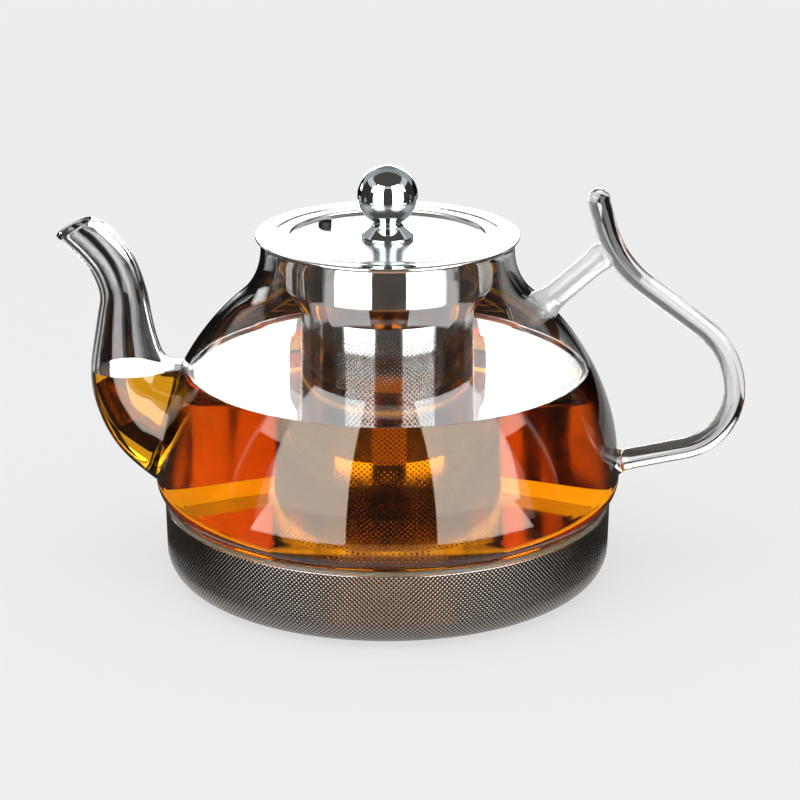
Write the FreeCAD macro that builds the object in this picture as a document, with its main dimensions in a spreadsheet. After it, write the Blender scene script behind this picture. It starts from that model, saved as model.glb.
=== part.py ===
import FreeCAD, Part
import math
import os
import re
import Sketcher

# Glass teapot on a bonded steel base, with a lift-out strainer and a lift-off lid.
# Millimetres. Z is up, the origin is the middle of the base's underside, the spout points to -X.

SIZES = {
    # Outer steel pan under the pot.
    "pan_radius": 68.0,
    "pan_height": 23.0,
    "pan_draft": 0.5,
    "pan_corner": 9.0,
    "pan_wall": 0.8,
    # Aluminium heat spreader and the steel plate above it.
    "spreader_thickness": 4.0,
    "spreader_margin": 0.5,
    "plate_thickness": 0.8,
    "plate_gap": 0.4,
    # Silicone bond round the foot of the glass.
    "seal_gap": 1.0,
    "seal_bed": 2.4,
    "seal_bead": 1.0,
    "seal_lap": 3.5,
    "seal_fillet": 1.6,
    # Blown glass body.
    "glass_wall": 2.0,
    "belly_overhang": 4.4,
    "belly_rise": 8.6,
    "heel_curve": 8.4,
    "neck_radius": 38.0,
    "neck_draw": 10.8,
    "lip_height": 3.3,
    # Spout: wall, bore overrun and the root that is fused to the belly.
    "spout_wall": 1.7,
    "spout_overrun": 2.0,
    "spout_bury": 16.0,
    "spout_root_inset": 4.6,
    "spout_root_rise": 15.9,
    "spout_root_tilt": 75.0,
    "spout_root_tall": 38.0,
    "spout_root_wide": 32.0,
    # Handle: bent rod with a bead on its free end and a weld flare on the belly.
    "rod_diameter": 6.5,
    "tip_inset": 7.8,
    "tip_rise": 84.7,
    "tip_lean": 16.0,
    "tip_length": 8.27,
    "tip_bead": 7.0,
    "elbow_curve": 36.0,
    "grip_slope": 53.0,
    "slope_length": 21.2,
    "grip_upper_curve": 26.0,
    "grip_lower_curve": 18.2,
    "weld_rise": 2.0,
    "weld_bury": 3.0,
    "weld_diameter": 9.2,
    "weld_length": 8.0,
    # Strut between the shoulder and the handle.
    "strut_diameter": 7.6,
    "strut_drop": 15.3,
    "strut_foot_inset": 32.1,
    "strut_foot_rise": 44.7,
    "strut_boss_diameter": 10.5,
    "strut_boss_length": 14.5,
    # Strainer: pressed collar, perforated sleeve and floor.
    "collar_sheet": 0.8,
    "flange_overhang": 1.5,
    "mouth_gap": 1.2,
    "collar_radius": 31.4,
    "collar_depth": 13.4,
    "cone_depth": 7.6,
    "sleeve_radius": 26.0,
    "sleeve_sheet": 0.4,
    "sleeve_length": 69.0,
    "tail_length": 4.0,
    "floor_rim": 4.0,
    # Lid: dished plate with a downturned skirt.
    "lid_sheet": 0.8,
    "lid_gap": 0.5,
    "lid_dish": 1.3,
    "lid_skirt_gap": 0.6,
    "lid_skirt_depth": 8.2,
    "lid_edge": 0.4,
    "vent_diameter": 5.0,
    "vent_rise": 2.0,
    "vent_sheet": 0.5,
    "vent_round": 1.6,
    "vent_reach": 17.0,
    "vent_offset": 14.6,
    # Knob and its fixing.
    "knob_ball": 18.0,
    "knob_height": 22.1,
    "knob_foot": 15.8,
    "knob_foot_edge": 0.9,
    "knob_flare": 3.2,
    "knob_neck": 8.6,
    "screw_diameter": 4.0,
    "screw_gap": 0.2,
    "screw_reach": 7.0,
    "screw_head": 8.0,
    "screw_head_height": 2.2,
    "washer_diameter": 12.0,
    "washer_thickness": 0.8,
}

# Each further section of the spout: steps outwards and upwards from the one before it,
# the lean of its plane, and its height and width.
SPOUT_SECTIONS = {
    "bulb": (6.2, 5.1, 56.0, 33.0, 29.0),
    "shoulder": (4.4, 5.4, 40.0, 27.5, 25.6),
    "throat": (2.3, 6.8, 22.0, 23.3, 22.6),
    "stem": (0.1, 8.4, 2.0, 19.0, 18.8),
    "waist": (0.1, 7.1, 0.0, 16.3, 16.2),
    "rise": (0.3, 7.7, 6.0, 14.0, 13.8),
    "bend": (2.9, 8.5, 24.0, 13.6, 13.4),
    "lean": (5.4, 7.1, 42.0, 13.3, 13.0),
    "mouth": (5.3, 4.3, 25.0, 12.7, 12.4),
}
SECTION_KEYS = ("step_out", "step_up", "tilt", "tall", "wide")

# Heights and radii that several pieces share, worked out from the sizes.
FLOOR_TOP = "pan_wall + spreader_thickness + plate_thickness"
FOOT_LEVEL = FLOOR_TOP + " + seal_bed"
PAN_INSIDE = "pan_radius - pan_wall"
FOOT_RADIUS = PAN_INSIDE + " - seal_gap"
BELLY_LEVEL = "pan_height + belly_rise"
BELLY_RADIUS = FOOT_RADIUS + " + belly_overhang"
NECK_RISE = "sqrt((" + BELLY_RADIUS + ")^2 - neck_radius^2) + neck_draw"
NECK_LEVEL = BELLY_LEVEL + " + " + NECK_RISE
RIM_LEVEL = NECK_LEVEL + " + lip_height"
FLANGE_TOP = RIM_LEVEL + " + collar_sheet"
DISH_TOP = FLANGE_TOP + " - lid_dish"
CORNER_MIDDLE = PAN_INSIDE + " - pan_draft - pan_corner + pan_wall"
PLATE_RADIUS = (CORNER_MIDDLE + " - plate_gap + sqrt((pan_corner - pan_wall)^2"
                " - (pan_corner - pan_wall - spreader_thickness)^2)")
RECESS_RADIUS = "neck_radius - glass_wall - mouth_gap - collar_sheet"
CONE_TOP = RIM_LEVEL + " - collar_sheet - collar_depth"
SLEEVE_TOP = CONE_TOP + " - cone_depth"
SLEEVE_BOTTOM = SLEEVE_TOP + " - sleeve_length"
SLEEVE_INSIDE = "sleeve_radius - sleeve_sheet"
SKIRT_RADIUS = "collar_radius - collar_sheet - lid_skirt_gap"
LID_UNDER = DISH_TOP + " - lid_sheet"
WASHER_UNDER = LID_UNDER + " - washer_thickness"
BALL_LEVEL = DISH_TOP + " + knob_height - knob_ball / 2"
TIP_REACH = BELLY_RADIUS + " - tip_inset"
TIP_LEVEL = BELLY_LEVEL + " + tip_rise"

doc = FreeCAD.newDocument("glass_teapot")
sheet = doc.addObject("Spreadsheet::Sheet", "Sizes")


def fill_sheet():
    """Write every size into the sheet under its own name."""
    sizes = dict(SIZES)
    for section, values in SPOUT_SECTIONS.items():
        for key, value in zip(SECTION_KEYS, values):
            sizes["spout_%s_%s" % (section, key)] = value
    for row, (name, value) in enumerate(sizes.items(), start=1):
        sheet.set("A%d" % row, name)
        sheet.set("B%d" % row, str(value))
        sheet.setAlias("B%d" % row, name)
    doc.recompute()


def linked(text):
    """Point each size named in a formula at its cell."""
    return re.sub(r"\b[a-z]\w*\b(?!\()", lambda found: "Sizes." + found.group(), "(" + text + ")")


def number(text):
    """The present value of a formula."""
    return float(sheet.evalExpression(linked(text)))


def vector(x, z):
    return FreeCAD.Vector(x, z, 0)


def bind(thing, **formulas):
    """Tie properties to formulas, with two underscores for each dot of a path."""
    for path, formula in formulas.items():
        thing.setExpression(path.replace("__", "."), linked(formula))


def new_body(name):
    body = doc.addObject("PartDesign::Body", name)
    body.Label = name
    return body


def new_sketch(body, name, role="XZ_Plane"):
    """An empty sketch on one of the body's own origin planes."""
    sketch = body.newObject("Sketcher::SketchObject", name)
    plane = [feature for feature in body.Origin.OriginFeatures if feature.Role == role][0]
    sketch.AttachmentSupport = [(plane, "")]
    sketch.MapMode = "FlatFace"
    return sketch


def constrain(sketch, formula, kind, *where):
    """Add a dimension whose value follows a formula."""
    index = sketch.addConstraint(Sketcher.Constraint(kind, *where, number(formula)))
    sketch.setExpression("Constraints[%d]" % index, linked(formula))


def relate(sketch, kind, *where):
    sketch.addConstraint(Sketcher.Constraint(kind, *where))


def locate(sketch, element, end, x, z):
    """Fix a point by its distances from the axis and from the ground."""
    ground = -1
    axis = -2
    for formula, kind, datum in ((x, "DistanceX", axis), (z, "DistanceY", ground)):
        if formula == "0":
            relate(sketch, "PointOnObject", element, end, datum)
        else:
            constrain(sketch, formula, kind, -1, 1, element, end)


def corner_points(before, corner, after, radius):
    """Where a rounding leaves the two sides of a corner, its centre and whether it turns left."""
    towards = (before - corner).normalize()
    onwards = (after - corner).normalize()
    half = math.acos(max(-1.0, min(1.0, towards.dot(onwards)))) / 2
    entry = corner + towards * (radius / math.tan(half))
    leave = corner + onwards * (radius / math.tan(half))
    middle = corner + (towards + onwards).normalize() * (radius / math.sin(half))
    turns_left = towards.cross(onwards).z < 0
    return entry, leave, middle, turns_left


def arc_between(middle, radius, first, last):
    """The arc that runs counter-clockwise from the first point to the last."""
    start = math.atan2(first.y - middle.y, first.x - middle.x)
    stop = math.atan2(last.y - middle.y, last.x - middle.x)
    circle = Part.Circle(middle, FreeCAD.Vector(0, 0, 1), radius)
    return Part.ArcOfCircle(circle, start, stop if stop > start else stop + 2 * math.pi)


def draw_profile(sketch, corners):
    """Draw a closed outline of straight sides, where a third entry rounds its corner."""
    points = [vector(number(corner[0]), number(corner[1])) for corner in corners]
    count = len(corners)
    entries = list(points)
    leaves = list(points)
    rounds = {}
    for index, corner in enumerate(corners):
        if len(corner) == 3:
            radius = number(corner[2])
            beside = points[index - 1], points[index], points[(index + 1) % count]
            entry, leave, middle, turns_left = corner_points(*beside, radius)
            entries[index] = entry
            leaves[index] = leave
            ends = (entry, leave) if turns_left else (leave, entry)
            rounds[index] = (arc_between(middle, radius, *ends), turns_left)
    sides = [sketch.addGeometry(Part.LineSegment(leaves[index], entries[(index + 1) % count]), False)
             for index in range(count)]
    for index, corner in enumerate(corners):
        arriving = sides[index - 1]
        departing = sides[index]
        if index not in rounds:
            relate(sketch, "Coincident", arriving, 2, departing, 1)
            locate(sketch, departing, 1, corner[0], corner[1])
            continue
        arc, turns_left = rounds[index]
        bend = sketch.addGeometry(arc, False)
        apex = sketch.addGeometry(Part.Point(points[index]), True)
        relate(sketch, "Tangent", arriving, 2, bend, 1 if turns_left else 2)
        relate(sketch, "Tangent", departing, 1, bend, 2 if turns_left else 1)
        relate(sketch, "PointOnObject", apex, 1, arriving)
        relate(sketch, "PointOnObject", apex, 1, departing)
        locate(sketch, apex, 1, corner[0], corner[1])
        constrain(sketch, corner[2], "Radius", bend)


def revolve(body, sketch):
    """Turn a sketch once round the pot's axis."""
    turned = body.newObject("PartDesign::Revolution", body.Name + "_turned")
    turned.Profile = sketch
    turned.ReferenceAxis = (sketch, ["V_Axis"])
    turned.Angle = 360
    doc.recompute()
    return turned


def turned_piece(name, corners):
    """A body of revolution from its half section."""
    body = new_body(name)
    sketch = new_sketch(body, name + "_section")
    draw_profile(sketch, corners)
    revolve(body, sketch)
    return body


def combine(kind, name, base, tool):
    """A boolean of two objects."""
    result = doc.addObject("Part::" + kind, name)
    result.Label = name
    result.Base = base
    result.Tool = tool
    doc.recompute()
    return result


def base_pan():
    """Pressed steel pan with a slightly drawn-in wall and a rounded lower edge."""
    return turned_piece("base_pan", [
        ("0", "0"),
        ("pan_radius - pan_draft", "0", "pan_corner"),
        ("pan_radius", "pan_height"),
        (PAN_INSIDE, "pan_height"),
        (PAN_INSIDE + " - pan_draft", "pan_wall", "pan_corner - pan_wall"),
        ("0", "pan_wall"),
    ])


def heat_spreader():
    """Aluminium disc between the pan and the plate."""
    radius = CORNER_MIDDLE + " - spreader_margin"
    return turned_piece("heat_spreader", [
        ("0", "pan_wall"),
        (radius, "pan_wall"),
        (radius, "pan_wall + spreader_thickness"),
        ("0", "pan_wall + spreader_thickness"),
    ])


def inner_plate():
    """Steel plate that is the floor of the pot."""
    return turned_piece("inner_plate", [
        ("0", "pan_wall + spreader_thickness"),
        (PLATE_RADIUS, "pan_wall + spreader_thickness"),
        (PLATE_RADIUS, FLOOR_TOP),
        ("0", FLOOR_TOP),
    ])


def draw_glass(sketch, inset, overrun):
    """Half outline of the blown body: foot, heel, belly, drawn-in neck and lip."""
    foot = FOOT_RADIUS + " - " + inset
    heel = "heel_curve - " + inset
    belly = BELLY_RADIUS + " - " + inset
    neck = "neck_radius - " + inset
    bottom = FOOT_LEVEL + " - " + overrun
    top = RIM_LEVEL + " + " + overrun
    level = number(BELLY_LEVEL)
    round_radius = number(belly)
    heel_middle = vector(round_radius - number(heel), level)
    belly_middle = vector(0, level)
    foot_drop = math.sqrt(number(heel) ** 2 - (number(foot) - heel_middle.x) ** 2)
    foot_top = vector(number(foot), level - foot_drop)
    widest = vector(round_radius, level)
    # The neck's hollow curve touches the belly's curve and ends upright.
    sideways = number(neck)
    upwards = number(NECK_RISE)
    hollow = (round_radius ** 2 - sideways ** 2 - upwards ** 2) / (2 * (sideways - round_radius))
    neck_middle = vector(sideways + hollow, number(NECK_LEVEL))
    inflection = belly_middle + (neck_middle - belly_middle) * (round_radius / (round_radius + hollow))
    neck_top = vector(number(neck), number(NECK_LEVEL))
    outline = [
        Part.LineSegment(vector(0, number(bottom)), vector(number(foot), number(bottom))),
        Part.LineSegment(vector(number(foot), number(bottom)), foot_top),
        arc_between(heel_middle, number(heel), foot_top, widest),
        arc_between(belly_middle, round_radius, widest, inflection),
        arc_between(neck_middle, hollow, neck_top, inflection),
        Part.LineSegment(neck_top, vector(number(neck), number(top))),
        Part.LineSegment(vector(number(neck), number(top)), vector(0, number(top))),
        Part.LineSegment(vector(0, number(top)), vector(0, number(bottom))),
    ]
    base, wall, heel_arc, belly_arc, neck_arc, lip, mouth, axis = sketch.addGeometry(outline, False)
    relate(sketch, "Coincident", base, 2, wall, 1)
    relate(sketch, "Coincident", wall, 2, heel_arc, 1)
    relate(sketch, "Tangent", heel_arc, 2, belly_arc, 1)
    relate(sketch, "Tangent", belly_arc, 2, neck_arc, 2)
    relate(sketch, "Tangent", neck_arc, 1, lip, 1)
    relate(sketch, "Coincident", lip, 2, mouth, 1)
    relate(sketch, "Coincident", mouth, 2, axis, 1)
    relate(sketch, "Coincident", axis, 2, base, 1)
    relate(sketch, "Vertical", wall)
    relate(sketch, "Vertical", lip)
    locate(sketch, base, 1, "0", bottom)
    locate(sketch, base, 2, foot, bottom)
    locate(sketch, lip, 2, neck, top)
    locate(sketch, mouth, 2, "0", top)
    locate(sketch, belly_arc, 3, "0", BELLY_LEVEL)
    constrain(sketch, BELLY_LEVEL, "DistanceY", -1, 1, heel_arc, 3)
    constrain(sketch, belly, "Radius", belly_arc)
    constrain(sketch, heel, "Radius", heel_arc)
    constrain(sketch, NECK_LEVEL, "DistanceY", -1, 1, neck_arc, 3)


def glass_solid(name, inset, overrun):
    """The blown form as a full solid, drawn in by an inset."""
    body = new_body(name)
    sketch = new_sketch(body, name + "_section")
    draw_glass(sketch, inset, overrun)
    revolve(body, sketch)
    return body


def glass_shell(envelope):
    """The blown wall, open at the foot and at the mouth."""
    hollow = glass_solid("glass_hollow", "glass_wall", "glass_wall")
    return combine("Cut", "glass_shell", envelope, hollow)


def seal_ring(shell):
    """Silicone that beds the foot of the glass, fills the gap to the pan and ends in a bead."""
    inside = FOOT_RADIUS + " - glass_wall"
    wall_step = "pan_draft * (pan_height - pan_corner) / (pan_height - pan_wall)"
    bead = "pan_radius - pan_wall / 2"
    middle = inside + " + glass_wall / 2"
    filled = turned_piece("seal_fill", [
        (inside + " - seal_fillet", FLOOR_TOP),
        (PLATE_RADIUS, FLOOR_TOP),
        (PAN_INSIDE + " - " + wall_step, "pan_corner"),
        (PAN_INSIDE, "pan_height"),
        (bead, "pan_height"),
        (bead, "pan_height + seal_bead / 2"),
        (PAN_INSIDE, "pan_height + seal_bead"),
        (middle, "pan_height + seal_bead"),
        (middle, FLOOR_TOP + " + seal_lap"),
        (inside, FLOOR_TOP + " + seal_lap"),
        (inside + " - seal_fillet", FLOOR_TOP + " + seal_lap / 4"),
    ])
    return combine("Cut", "seal_ring", filled, shell)


def spout_places():
    """Formulas for each section of the spout, from the belly to the mouth."""
    reach = BELLY_RADIUS + " - spout_root_inset"
    level = BELLY_LEVEL + " + spout_root_rise"
    places = {"root": (reach, level, "spout_root_tilt", "spout_root_tall", "spout_root_wide")}
    for section in SPOUT_SECTIONS:
        reach += " + spout_%s_step_out" % section
        level += " + spout_%s_step_up" % section
        sizes = tuple("spout_%s_%s" % (section, key) for key in SECTION_KEYS[2:])
        places[section] = (reach, level) + sizes
    return places


def spout_rings(name, inset, overrun):
    """The spout's sections as ellipses, drawn in by an inset, with the mouth carried past its lip."""
    rings = []
    for place, (reach, level, tilt, tall, wide) in spout_places().items():
        ring = doc.addObject("Part::Ellipse", "%s_%s" % (name, place))
        leaning = FreeCAD.Rotation(FreeCAD.Vector(0, -1, 0), number(tilt))
        ring.Placement = FreeCAD.Placement(FreeCAD.Vector(), leaning)
        lift = " + " + overrun if place == "mouth" else ""
        bind(ring, MajorRadius=tall + " / 2 - " + inset, MinorRadius=wide + " / 2 - " + inset,
             Placement__Base__x="-(" + reach + ")", Placement__Base__z=level + lift,
             Placement__Rotation__Angle=tilt)
        rings.append(ring)
    return rings


def smooth_loft(name, rings):
    loft = doc.addObject("Part::Loft", name)
    loft.Sections = rings
    loft.Solid = True
    loft.Ruled = False
    return loft


def spout_form(name, inset, overrun):
    """The spout as a full solid: a stub into the belly, the bulb and the swan neck."""
    rings = spout_rings(name, inset, overrun)
    throat = list(spout_places()).index("throat")
    stub = doc.addObject("Part::Extrusion", name + "_stub")
    stub.Base = rings[0]
    stub.DirMode = "Custom"
    stub.Dir = FreeCAD.Vector(1, 0, 0)
    stub.Solid = True
    bind(stub, LengthFwd="spout_bury")
    bulb = smooth_loft(name + "_bulb_form", rings[:throat + 1])
    neck = smooth_loft(name + "_neck_form", rings[throat:])
    whole = doc.addObject("Part::MultiFuse", name)
    whole.Shapes = [stub, bulb, neck]
    doc.recompute()
    return whole


def spout(envelope, bore):
    """Swan-necked glass spout, hollow from the belly to the cut lip."""
    outside = spout_form("spout_outside", "0", "0")
    tube = combine("Cut", "spout_tube", outside, bore)
    return combine("Cut", "spout", tube, envelope)


def glass_body(shell, bore):
    """The blown body with the spout's bore opened through its wall."""
    return combine("Cut", "glass_body", shell, bore)


def draw_spine(sketch):
    """Centre line of the handle: straight tip, elbow, slope, two grip curves, run to the weld."""
    lean = math.radians(number("tip_lean"))
    slope = math.radians(number("grip_slope"))
    down_tip = vector(math.sin(lean), -math.cos(lean))
    down_slope = vector(math.sin(slope), -math.cos(slope))
    right_of_tip = vector(math.cos(lean), math.sin(lean))
    right_of_slope = vector(math.cos(slope), math.sin(slope))
    upper = number("grip_upper_curve")
    lower = number("grip_lower_curve")
    elbow = number("elbow_curve")
    tip = vector(number(TIP_REACH), number(TIP_LEVEL))
    elbow_start = tip + down_tip * number("tip_length")
    elbow_middle = elbow_start + right_of_tip * elbow
    elbow_end = elbow_middle - right_of_slope * elbow
    slope_end = elbow_end + down_slope * number("slope_length")
    upper_middle = slope_end - right_of_slope * upper
    widest = upper_middle + vector(upper, 0)
    lower_middle = widest - vector(lower, 0)
    weld_reach = BELLY_RADIUS + " - weld_bury"
    weld_level = BELLY_LEVEL + " + weld_rise"
    weld = vector(number(weld_reach), number(weld_level))
    reach = weld - lower_middle
    bearing = math.atan2(reach.y, reach.x) + math.acos(lower / reach.Length)
    run_start = lower_middle + vector(math.cos(bearing), math.sin(bearing)) * lower
    outline = [
        Part.LineSegment(tip, elbow_start),
        arc_between(elbow_middle, elbow, elbow_start, elbow_end),
        Part.LineSegment(elbow_end, slope_end),
        arc_between(upper_middle, upper, widest, slope_end),
        arc_between(lower_middle, lower, run_start, widest),
        Part.LineSegment(run_start, weld),
    ]
    straight, bend, fall, above, below, run = sketch.addGeometry(outline, False)
    relate(sketch, "Tangent", straight, 2, bend, 1)
    relate(sketch, "Tangent", bend, 2, fall, 1)
    relate(sketch, "Tangent", fall, 2, above, 2)
    relate(sketch, "Tangent", above, 1, below, 2)
    relate(sketch, "Tangent", below, 1, run, 1)
    relate(sketch, "Horizontal", above, 3, above, 1)
    locate(sketch, straight, 1, TIP_REACH, TIP_LEVEL)
    locate(sketch, run, 2, weld_reach, weld_level)
    constrain(sketch, "tip_length", "Distance", straight)
    constrain(sketch, "slope_length", "Distance", fall)
    constrain(sketch, "elbow_curve", "Radius", bend)
    constrain(sketch, "grip_upper_curve", "Radius", above)
    constrain(sketch, "grip_lower_curve", "Radius", below)
    for line, formula in ((straight, "tip_lean"), (fall, "grip_slope")):
        angle = Sketcher.Constraint("Angle", line, math.radians(number(formula) - 90))
        index = sketch.addConstraint(angle)
        sketch.setExpression("Constraints[%d]" % index, "(%s - 90) * 1 deg" % linked(formula))


def handle_rod():
    """The bent rod, swept along its centre line."""
    body = new_body("handle_rod")
    spine = new_sketch(body, "handle_spine")
    draw_spine(spine)
    doc.recompute()
    section = body.newObject("Sketcher::SketchObject", "handle_section")
    section.AttachmentSupport = [(spine, "Edge1")]
    section.MapMode = "NormalToEdge"
    section.MapPathParameter = 0.0
    outline = Part.Circle(vector(0, 0), FreeCAD.Vector(0, 0, 1), number("rod_diameter / 2"))
    circle = section.addGeometry(outline, False)
    relate(section, "Coincident", circle, 3, -1, 1)
    constrain(section, "rod_diameter", "Diameter", circle)
    doc.recompute()
    pipe = body.newObject("PartDesign::AdditivePipe", "handle_sweep")
    pipe.Profile = section
    pipe.Spine = (spine, ["Edge%d" % edge for edge in range(1, 7)])
    doc.recompute()
    return body, spine


def handle(envelope):
    """Handle rod with a rounded bead on its free end and a flared weld on the belly."""
    rod, spine = handle_rod()
    bead = doc.addObject("Part::Sphere", "handle_bead")
    bind(bead, Radius="tip_bead / 2", Placement__Base__x=TIP_REACH, Placement__Base__z=TIP_LEVEL)
    flare = doc.addObject("Part::Cone", "handle_flare")
    flare.AttachmentSupport = [(spine, "Edge6")]
    flare.MapMode = "NormalToEdge"
    flare.MapPathParameter = 1.0
    bind(flare, Radius1="weld_diameter / 2", Radius2="rod_diameter / 2", Height="weld_bury + weld_length")
    doc.recompute()
    ended = combine("Fuse", "handle_ended", rod, bead)
    flared = combine("Fuse", "handle_flared", ended, flare)
    return combine("Cut", "handle", flared, envelope)


def handle_strut(envelope, grip):
    """Short thick rod, fused to the shoulder by a boss and to the side of the handle."""
    foot_x = BELLY_RADIUS + " - strut_foot_inset"
    foot_z = BELLY_LEVEL + " + strut_foot_rise"
    across = "(strut_foot_inset - tip_inset + strut_drop * sin(tip_lean))"
    along = "(tip_rise - strut_foot_rise - strut_drop * cos(tip_lean))"
    rod = doc.addObject("Part::Cylinder", "strut_rod")
    boss = doc.addObject("Part::Cone", "strut_boss")
    for solid in (rod, boss):
        leaning = FreeCAD.Rotation(FreeCAD.Vector(0, 1, 0), 45)
        solid.Placement = FreeCAD.Placement(FreeCAD.Vector(), leaning)
        bind(solid, Placement__Base__x=foot_x, Placement__Base__z=foot_z,
             Placement__Rotation__Angle="atan2(%s; %s)" % (across, along))
    bind(rod, Radius="strut_diameter / 2", Height="hypot(%s; %s)" % (across, along))
    bind(boss, Radius1="strut_boss_diameter / 2", Radius2="strut_diameter / 2", Height="strut_boss_length")
    doc.recompute()
    whole = combine("Fuse", "strut_whole", rod, boss)
    outside = combine("Cut", "strut_outside", whole, envelope)
    return combine("Cut", "handle_strut", outside, grip)


def strainer_collar():
    """Pressed collar: flange on the glass rim, lid recess, cylinder, cone and a tail for the sleeve."""
    ledge = RIM_LEVEL + " - collar_sheet"
    flange = "neck_radius + flange_overhang"
    tail = SLEEVE_INSIDE
    return turned_piece("strainer_collar", [
        (RECESS_RADIUS, FLANGE_TOP),
        (RECESS_RADIUS, RIM_LEVEL),
        ("collar_radius - collar_sheet", RIM_LEVEL),
        ("collar_radius - collar_sheet", CONE_TOP),
        ("sleeve_radius - collar_sheet", SLEEVE_TOP),
        (tail + " - collar_sheet", SLEEVE_TOP),
        (tail + " - collar_sheet", SLEEVE_TOP + " - tail_length"),
        (tail, SLEEVE_TOP + " - tail_length"),
        (tail, SLEEVE_TOP),
        ("sleeve_radius", SLEEVE_TOP),
        ("collar_radius", CONE_TOP),
        ("collar_radius", ledge),
        (RECESS_RADIUS + " + collar_sheet", ledge),
        (RECESS_RADIUS + " + collar_sheet", RIM_LEVEL),
        (flange, RIM_LEVEL),
        (flange, FLANGE_TOP),
    ])


def strainer_sleeve():
    """Rolled sleeve that holds the leaves, welded round the collar's tail."""
    return turned_piece("strainer_sleeve", [
        (SLEEVE_INSIDE, SLEEVE_BOTTOM),
        ("sleeve_radius", SLEEVE_BOTTOM),
        ("sleeve_radius", SLEEVE_TOP),
        (SLEEVE_INSIDE, SLEEVE_TOP),
    ])


def strainer_floor():
    """Shallow cup pressed into the lower end of the sleeve."""
    inside = SLEEVE_INSIDE + " - sleeve_sheet"
    return turned_piece("strainer_floor", [
        ("0", SLEEVE_BOTTOM),
        (SLEEVE_INSIDE, SLEEVE_BOTTOM),
        (SLEEVE_INSIDE, SLEEVE_BOTTOM + " + floor_rim"),
        (inside, SLEEVE_BOTTOM + " + floor_rim"),
        (inside, SLEEVE_BOTTOM + " + sleeve_sheet"),
        ("0", SLEEVE_BOTTOM + " + sleeve_sheet"),
    ])


def cut_vent(body):
    """Open the half round of the vent under its hood."""
    sketch = new_sketch(body, "lid_vent_section", "XY_Plane")
    middle = FreeCAD.Vector(-number("vent_reach"), number("vent_offset"), 0)
    radius = number("vent_diameter / 2 - vent_sheet")
    back = middle + FreeCAD.Vector(0, radius, 0)
    front = middle - FreeCAD.Vector(0, radius, 0)
    outline = [arc_between(middle, radius, back, front), Part.LineSegment(front, back)]
    bow, chord = sketch.addGeometry(outline, False)
    relate(sketch, "Coincident", bow, 2, chord, 1)
    relate(sketch, "Coincident", chord, 2, bow, 1)
    relate(sketch, "PointOnObject", bow, 3, chord)
    relate(sketch, "Vertical", chord)
    locate(sketch, bow, 3, "-vent_reach", "vent_offset")
    constrain(sketch, "vent_diameter / 2 - vent_sheet", "Radius", bow)
    doc.recompute()
    solid = body.Shape.Volume
    pocket = body.newObject("PartDesign::Pocket", "lid_vent")
    pocket.Profile = sketch
    pocket.Type = "ThroughAll"
    pocket.Midplane = True
    doc.recompute()
    if not body.Shape.Volume < solid:
        raise RuntimeError("the vent misses the lid")


def raise_hood(body):
    """Half dome pressed up over the vent, open towards the handle."""
    inside = "vent_diameter / 2 - vent_sheet"
    top = DISH_TOP + " + vent_rise"
    root = DISH_TOP + " - lid_sheet / 2"
    sketch = new_sketch(body, "lid_hood_section")
    draw_profile(sketch, [
        ("0", top + " - vent_sheet"),
        (inside, top + " - vent_sheet", "vent_round - vent_sheet"),
        (inside, root),
        ("vent_diameter / 2", root),
        ("vent_diameter / 2", top, "vent_round"),
        ("0", top),
    ])
    bind(sketch, AttachmentOffset__Base__x="-vent_reach", AttachmentOffset__Base__z="-vent_offset")
    doc.recompute()
    hood = body.newObject("PartDesign::Revolution", "lid_hood")
    hood.Profile = sketch
    hood.ReferenceAxis = (sketch, ["V_Axis"])
    hood.Angle = 180
    doc.recompute()


def lid_plate():
    """Dished lid: rim in the collar's recess, skirt in the collar, screw hole and hooded vent."""
    rim = RECESS_RADIUS + " - lid_gap"
    hole = "screw_diameter / 2 + screw_gap"
    body = turned_piece("lid_plate", [
        (hole, DISH_TOP),
        (SKIRT_RADIUS + " - lid_sheet", DISH_TOP),
        (SKIRT_RADIUS + " - lid_edge", RIM_LEVEL + " + lid_sheet"),
        (rim, RIM_LEVEL + " + lid_sheet"),
        (rim, RIM_LEVEL),
        (SKIRT_RADIUS, RIM_LEVEL),
        (SKIRT_RADIUS, RIM_LEVEL + " - lid_skirt_depth"),
        (SKIRT_RADIUS + " - lid_sheet", RIM_LEVEL + " - lid_skirt_depth"),
        (SKIRT_RADIUS + " - lid_sheet", LID_UNDER),
        (hole, LID_UNDER),
    ])
    cut_vent(body)
    raise_hood(body)
    return body


def lid_knob():
    """Ball knob on a flared foot, with a blind hole for its screw."""
    stem = turned_piece("knob_stem", [
        ("screw_diameter / 2", DISH_TOP),
        ("knob_foot / 2", DISH_TOP),
        ("knob_foot / 2", DISH_TOP + " + knob_foot_edge"),
        ("knob_neck / 2", DISH_TOP + " + knob_foot_edge + knob_flare", "knob_flare"),
        ("knob_neck / 2", BALL_LEVEL),
        ("0", BALL_LEVEL),
        ("0", DISH_TOP + " + screw_reach + screw_gap"),
        ("screw_diameter / 2", DISH_TOP + " + screw_reach + screw_gap"),
    ])
    ball = doc.addObject("Part::Sphere", "knob_ball_whole")
    bind(ball, Radius="knob_ball / 2", Placement__Base__z=BALL_LEVEL)
    bore = doc.addObject("Part::Cylinder", "knob_bore")
    bind(bore, Radius="screw_diameter / 2", Height="screw_reach + screw_gap", Placement__Base__z=DISH_TOP)
    doc.recompute()
    drilled = combine("Cut", "knob_ball_drilled", ball, bore)
    return combine("Fuse", "lid_knob", stem, drilled)


def knob_washer():
    """Flat washer under the lid."""
    hole = "screw_diameter / 2 + screw_gap"
    return turned_piece("knob_washer", [
        (hole, WASHER_UNDER),
        ("washer_diameter / 2", WASHER_UNDER),
        ("washer_diameter / 2", LID_UNDER),
        (hole, LID_UNDER),
    ])


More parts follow.
